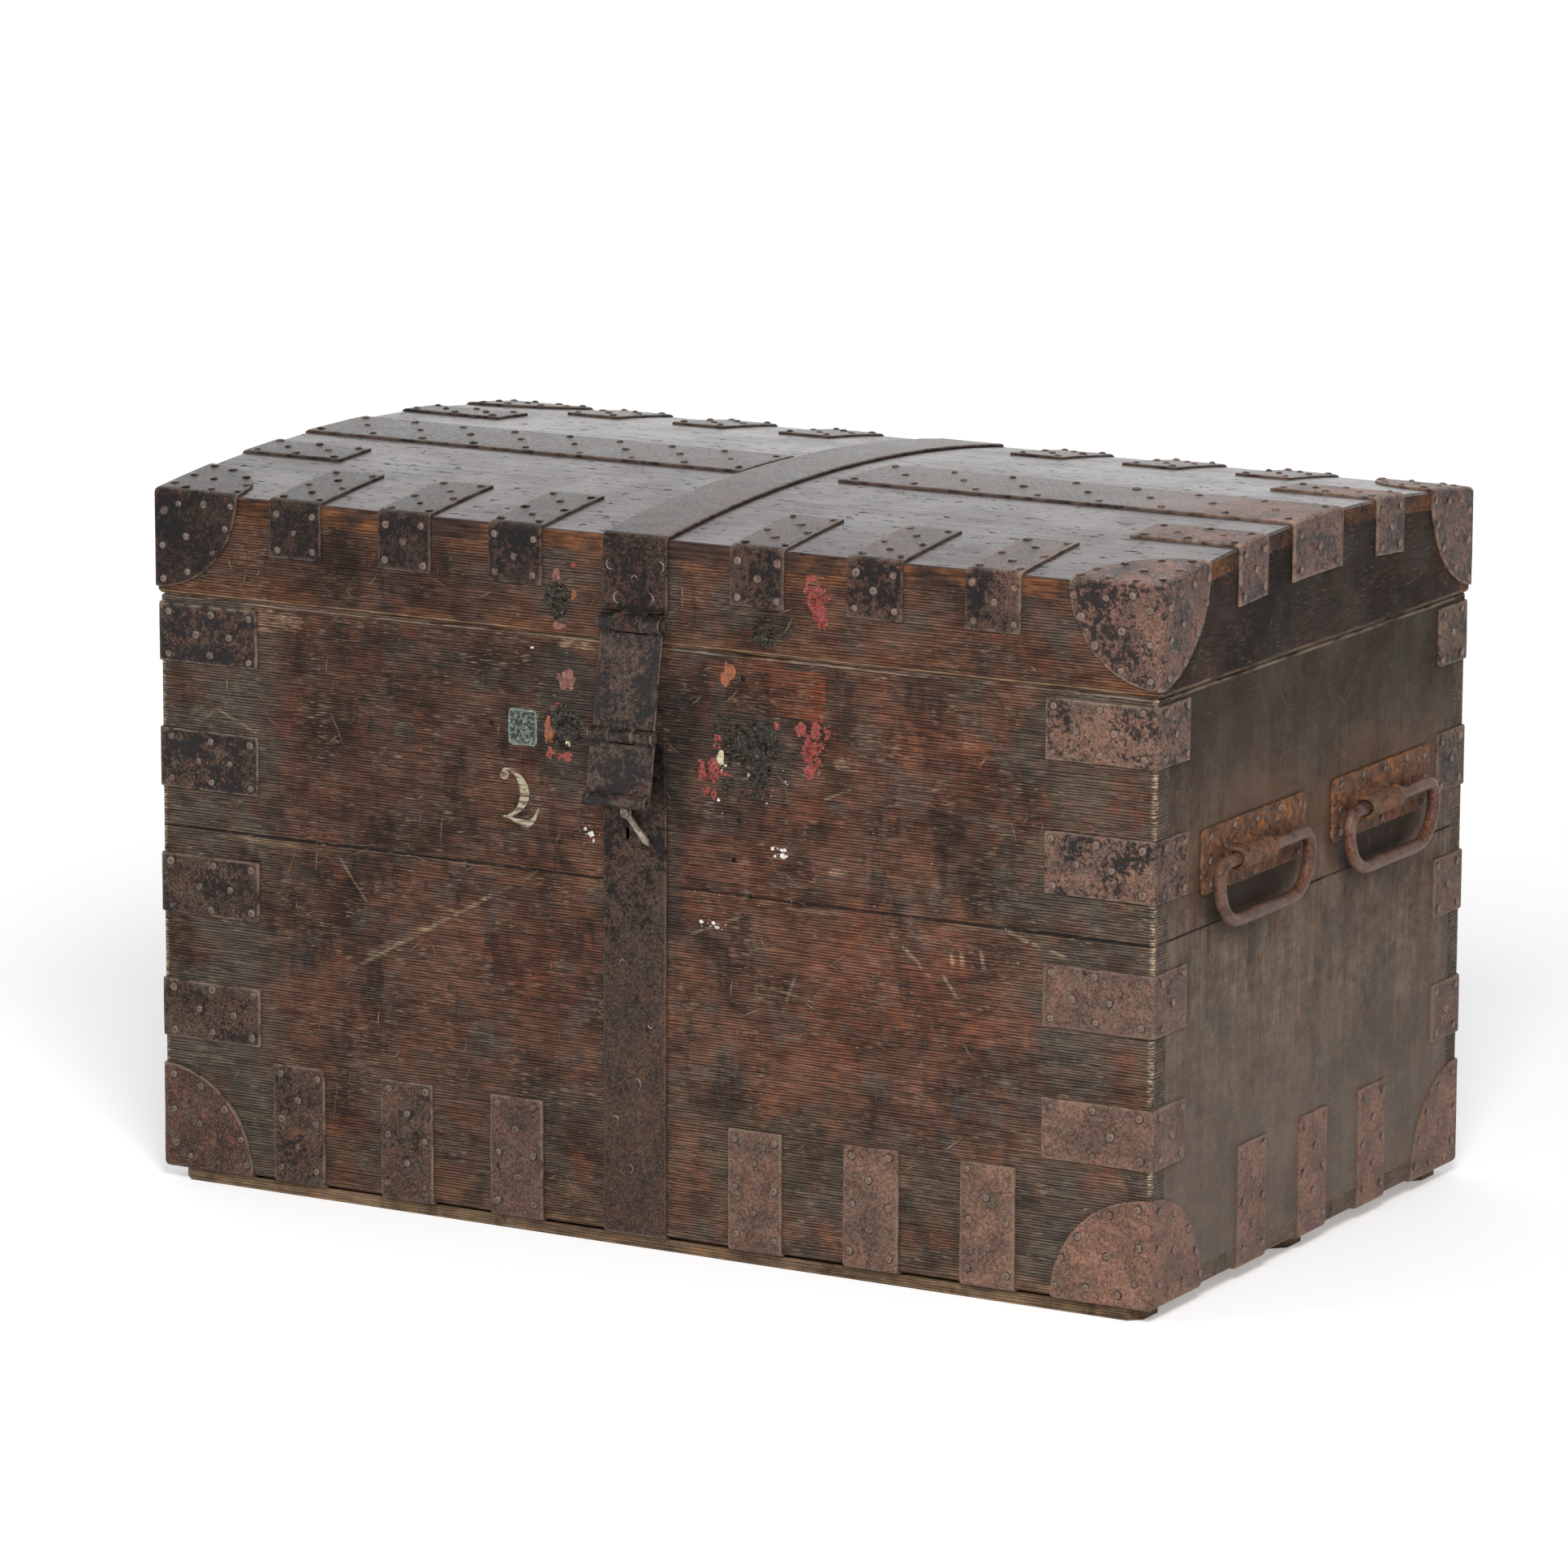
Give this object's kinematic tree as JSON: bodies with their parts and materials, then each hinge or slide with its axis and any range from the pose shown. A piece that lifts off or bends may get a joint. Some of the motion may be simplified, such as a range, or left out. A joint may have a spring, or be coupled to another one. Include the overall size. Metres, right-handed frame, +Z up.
{
  "type": "iron-bound chest",
  "caption": "Rectangular oak storage chest bound with nailed iron straps, with a hinged, slightly arched lid, a hasp and lock, and drop handles on both ends.",
  "frame": {"origin": "on the floor under the middle of the case, on the underside of the middle runner", "axes": "+X along the front towards its right end, -Y out of the front, +Z up"},
  "size_m": [0.8738, 0.5571, 0.5474],
  "materials": {
    "oak_case": "dark, ribbed and worn",
    "oak_lid": "dark with orange-brown wear",
    "oak_lid_top": "grey-brown, rubbed to a low sheen",
    "oak_runner": "pale and dusty",
    "black_iron": "old black paint over pitted iron",
    "rusty_iron": "brown rust",
    "worn_iron": "pitted and rubbed bright at the edges"
  },
  "bodies": {
    "case": {"bottom_boards": "oak_case", "bottom_runners": "oak_runner", "case_back_bottom_straps": "black_iron", "case_back_center_strap": "black_iron", "case_back_left_corner": "black_iron", "case_back_left_edge_straps": "black_iron", "case_back_lower_board": "oak_case", "case_back_right_corner": "black_iron", "case_back_right_edge_straps": "black_iron", "case_back_upper_board": "oak_case", "case_front_bottom_straps": "black_iron", "case_front_center_strap": "black_iron", "case_front_left_corner": "black_iron", "case_front_left_edge_straps": "black_iron", "case_front_lower_board": "oak_case", "case_front_right_corner": "black_iron", "case_front_right_edge_straps": "black_iron", "case_front_upper_board": "oak_case", "case_left_bottom_straps": "black_iron", "case_left_lower_board": "oak_case", "case_left_upper_board": "oak_case", "case_right_bottom_straps": "black_iron", "case_right_lower_board": "oak_case", "case_right_upper_board": "oak_case", "handle_plate_left_back": "rusty_iron", "handle_plate_left_front": "rusty_iron", "handle_plate_right_back": "rusty_iron", "handle_plate_right_front": "rusty_iron", "hinge_case_leaves": "black_iron", "hinge_pins": "black_iron", "keyhole_cover_rivet": "worn_iron", "lock_case": "worn_iron"},
    "lid": {"hinge_lid_leaves": "black_iron", "lid_back_left_corner": "black_iron", "lid_back_rail": "oak_lid", "lid_back_right_corner": "black_iron", "lid_back_straps": "black_iron", "lid_center_strap": "black_iron", "lid_front_left_corner": "black_iron", "lid_front_rail": "oak_lid", "lid_front_right_corner": "black_iron", "lid_front_straps": "black_iron", "lid_left_end": "oak_lid", "lid_left_end_straps": "black_iron", "lid_left_long_strap": "black_iron", "lid_right_end": "oak_lid", "lid_right_end_straps": "black_iron", "lid_right_long_strap": "black_iron", "lid_top_boards": "oak_lid_top", "hasp_pin": "worn_iron"},
    "hasp_upper": {"hasp_upper_leaf": "worn_iron", "hasp_lower_pin": "worn_iron"},
    "hasp_lower": {"hasp_lower_leaf": "worn_iron"},
    "bail_left_back": {"bail_left_back": "rusty_iron"},
    "bail_left_front": {"bail_left_front": "rusty_iron"},
    "bail_right_back": {"bail_right_back": "rusty_iron"},
    "bail_right_front": {"bail_right_front": "rusty_iron"},
    "lock_bolt": {"lock_bolt": "worn_iron"},
    "keyhole_cover": {"keyhole_cover": "worn_iron"}
  },
  "joints": [
    {"name": "lid_hinge", "type": "hinge", "parent": "case", "child": "lid", "pos_m": [0, 0.26155, 0.45015], "axis": [-1, 0, 0], "range_deg": [0, 105]},
    {"name": "hasp_hinge", "type": "hinge", "parent": "lid", "child": "hasp_upper", "pos_m": [-0.004, -0.26205, 0.466], "axis": [-1, 0, 0], "range_deg": [-9.5, 150]},
    {"name": "hasp_lower_hinge", "type": "hinge", "parent": "hasp_upper", "child": "hasp_lower", "pos_m": [-0.004, -0.27552, 0.38552], "axis": [-1, 0, 0], "range_deg": [0, 110]},
    {"name": "bail_right_front_swing", "type": "hinge", "parent": "case", "child": "bail_right_front", "pos_m": [0.4285, -0.10287, 0.319], "axis": [0, -1, 0], "range_deg": [-6, 170]},
    {"name": "bail_right_back_swing", "type": "hinge", "parent": "case", "child": "bail_right_back", "pos_m": [0.4285, 0.10905, 0.319], "axis": [0, -1, 0], "range_deg": [-6, 170]},
    {"name": "bail_left_front_swing", "type": "hinge", "parent": "case", "child": "bail_left_front", "pos_m": [-0.4285, -0.10287, 0.319], "axis": [0, 1, 0], "range_deg": [-6, 170]},
    {"name": "bail_left_back_swing", "type": "hinge", "parent": "case", "child": "bail_left_back", "pos_m": [-0.4285, 0.10905, 0.319], "axis": [0, 1, 0], "range_deg": [-6, 170]},
    {"name": "lock_bolt_slide", "type": "slide", "parent": "case", "child": "lock_bolt", "axis": [0, 0, 1], "range_m": [0, 0.0137]},
    {"name": "keyhole_cover_swing", "type": "hinge", "parent": "case", "child": "keyhole_cover", "pos_m": [-0.01, -0.25775, 0.326], "axis": [0, 1, 0], "range_deg": [-50, 130]}
  ]
}
